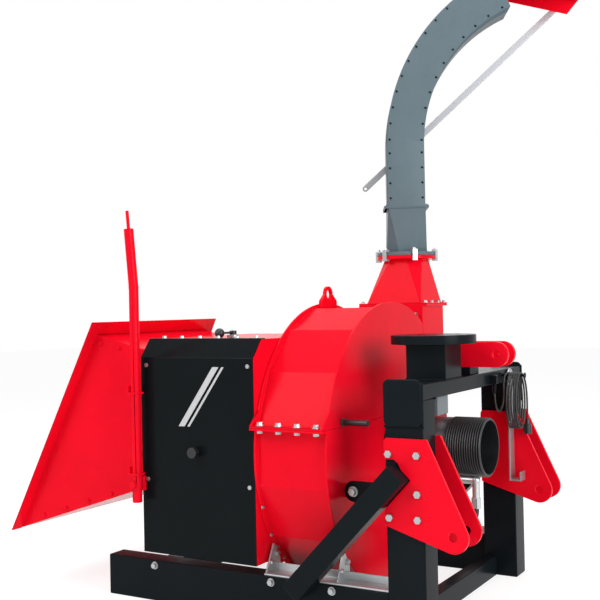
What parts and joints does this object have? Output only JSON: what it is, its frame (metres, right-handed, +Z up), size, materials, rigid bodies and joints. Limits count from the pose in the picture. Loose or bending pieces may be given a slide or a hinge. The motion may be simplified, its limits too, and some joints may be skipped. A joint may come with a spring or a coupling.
{
  "type": "tractor wood chipper",
  "caption": "Disc wood chipper on a three-point linkage frame, with a bolted feed hopper, two feed rollers, a swivelling discharge chute with an adjustable deflector and a hinged disc hood.",
  "frame": {"origin": "on the floor, under the middle of the bottom cross tube, on the drive axis's plane", "axes": "+X forward to the tractor along the drive axis, +Y to the far side, +Z up"},
  "size_m": [1.9191, 1.4267, 2.3912],
  "materials": {
    "red_paint": "gloss red powder coat",
    "black_paint": "satin black paint",
    "black_plastic": "moulded black plastic",
    "grey_paint": "dark blue-grey paint",
    "zinc": "zinc plated",
    "steel": "bare machined steel",
    "cable_sheath": "black cable sheath",
    "grey_plastic": "grey plastic box"
  },
  "bodies": {
    "frame": {"top_link_bracket": "red_paint", "lower_bracket_near": "red_paint", "lower_bracket_far": "red_paint", "housing": "red_paint", "transition": "red_paint", "feed_housing": "red_paint", "hopper_near": "red_paint", "hopper_far": "red_paint", "hopper_floor": "red_paint", "hopper_top": "red_paint", "hopper_rim": "red_paint", "lever_bracket": "red_paint", "skid_near": "black_paint", "skid_far": "black_paint", "post_near": "black_paint", "post_far": "black_paint", "top_beam": "black_paint", "bottom_tube": "black_paint", "rear_tube": "black_paint", "brace_near": "black_paint", "brace_far": "black_paint", "joint_plates": "black_paint", "pedestal": "black_paint", "side_cover": "black_paint", "beam_fittings": "black_paint", "bearing_cartridge": "black_paint", "drive_guard": "black_plastic", "cable_plug": "black_plastic", "hitch_bolts": "zinc", "base_angle_near": "zinc", "base_angle_far": "zinc", "ring_clamps": "zinc", "split_bolts": "zinc", "hood_hinge_pin": "zinc", "cover_screws": "zinc", "hydraulic_line": "zinc", "anvil": "steel", "roller_motor": "steel", "valve": "steel", "cable_lead": "cable_sheath", "cable_hank": "cable_sheath", "control_box": "grey_plastic"},
    "rotor": {"rotor_shaft": "steel", "rotor_disc": "steel", "rotor_knives": "steel", "rotor_paddles": "steel"},
    "hood": {"hood": "red_paint", "hood_handle": "black_plastic", "lifting_eye": "red_paint"},
    "lower_roller": {"lower_roller": "steel"},
    "feed_arm": {"feed_arm": "steel"},
    "upper_roller": {"upper_roller": "steel"},
    "control_lever": {"control_lever": "red_paint"},
    "valve_lever": {"valve_lever": "black_plastic"},
    "cover_knob": {"cover_knob": "black_plastic"},
    "chute": {"chute_foot": "grey_paint", "chute_elbow": "grey_paint"},
    "deflector": {"deflector": "red_paint"},
    "adjusting_bar": {"adjusting_bar": "zinc"},
    "shaft_hanger": {"shaft_hanger": "zinc"}
  },
  "joints": [
    {"name": "rotor_spin", "type": "hinge", "parent": "frame", "child": "rotor", "pos_m": [-0.3, 0, 0.55], "axis": [1, 0, 0], "continuous": true},
    {"name": "hood_open", "type": "hinge", "parent": "frame", "child": "hood", "pos_m": [-0.36, 0.2708, 1.01026], "axis": [-1, 0, 0], "range_deg": [0, 60]},
    {"name": "lower_roller_spin", "type": "hinge", "parent": "frame", "child": "lower_roller", "pos_m": [-0.69, -0.23, 0.32], "axis": [0, 1, 0], "continuous": true},
    {"name": "feed_arm_lift", "type": "hinge", "parent": "frame", "child": "feed_arm", "pos_m": [-0.56, -0.23, 0.8], "axis": [0, 1, 0], "range_deg": [0, 35]},
    {"name": "upper_roller_spin", "type": "hinge", "parent": "feed_arm", "child": "upper_roller", "pos_m": [-0.69, -0.23, 0.545], "axis": [0, 1, 0], "continuous": true},
    {"name": "control_lever_swing", "type": "hinge", "parent": "frame", "child": "control_lever", "pos_m": [-0.98, -0.5455, 0.43], "axis": [0, 1, 0], "range_deg": [-8, 8]},
    {"name": "valve_lever_turn", "type": "hinge", "parent": "frame", "child": "valve_lever", "pos_m": [-0.7, -0.33, 0.965], "axis": [0, 0, 1], "range_deg": [-45, 45]},
    {"name": "cover_knob_turn", "type": "hinge", "parent": "frame", "child": "cover_knob", "pos_m": [-0.7405, -0.52, 0.553], "axis": [0, 1, 0], "range_deg": [0, 90]},
    {"name": "chute_swivel", "type": "hinge", "parent": "frame", "child": "chute", "pos_m": [-0.336, 0.3998, 1.251], "axis": [0, 0, 1], "continuous": true},
    {"name": "deflector_tilt", "type": "hinge", "parent": "chute", "child": "deflector", "pos_m": [-0.02527, 0.56502, 2.37376], "axis": [-0.4695, 0.8829, 0], "range_deg": [-20, 25]},
    {"name": "adjusting_bar_pivot", "type": "hinge", "parent": "deflector", "child": "adjusting_bar", "pos_m": [0.2458, 0.70914, 2.28476], "axis": [-0.4695, 0.8829, 0], "range_deg": [-21.5, 17.5]},
    {"name": "shaft_hanger_swing", "type": "hinge", "parent": "frame", "child": "shaft_hanger", "pos_m": [0.109, 0.33, 0.779], "axis": [1, 0, 0], "range_deg": [-28, 0]}
  ],
  "couplings": [
    {"joint": "upper_roller_spin", "follows": "lower_roller_spin", "ratio": -0.75},
    {"joint": "adjusting_bar_pivot", "follows": "deflector_tilt", "ratio": -0.82}
  ]
}
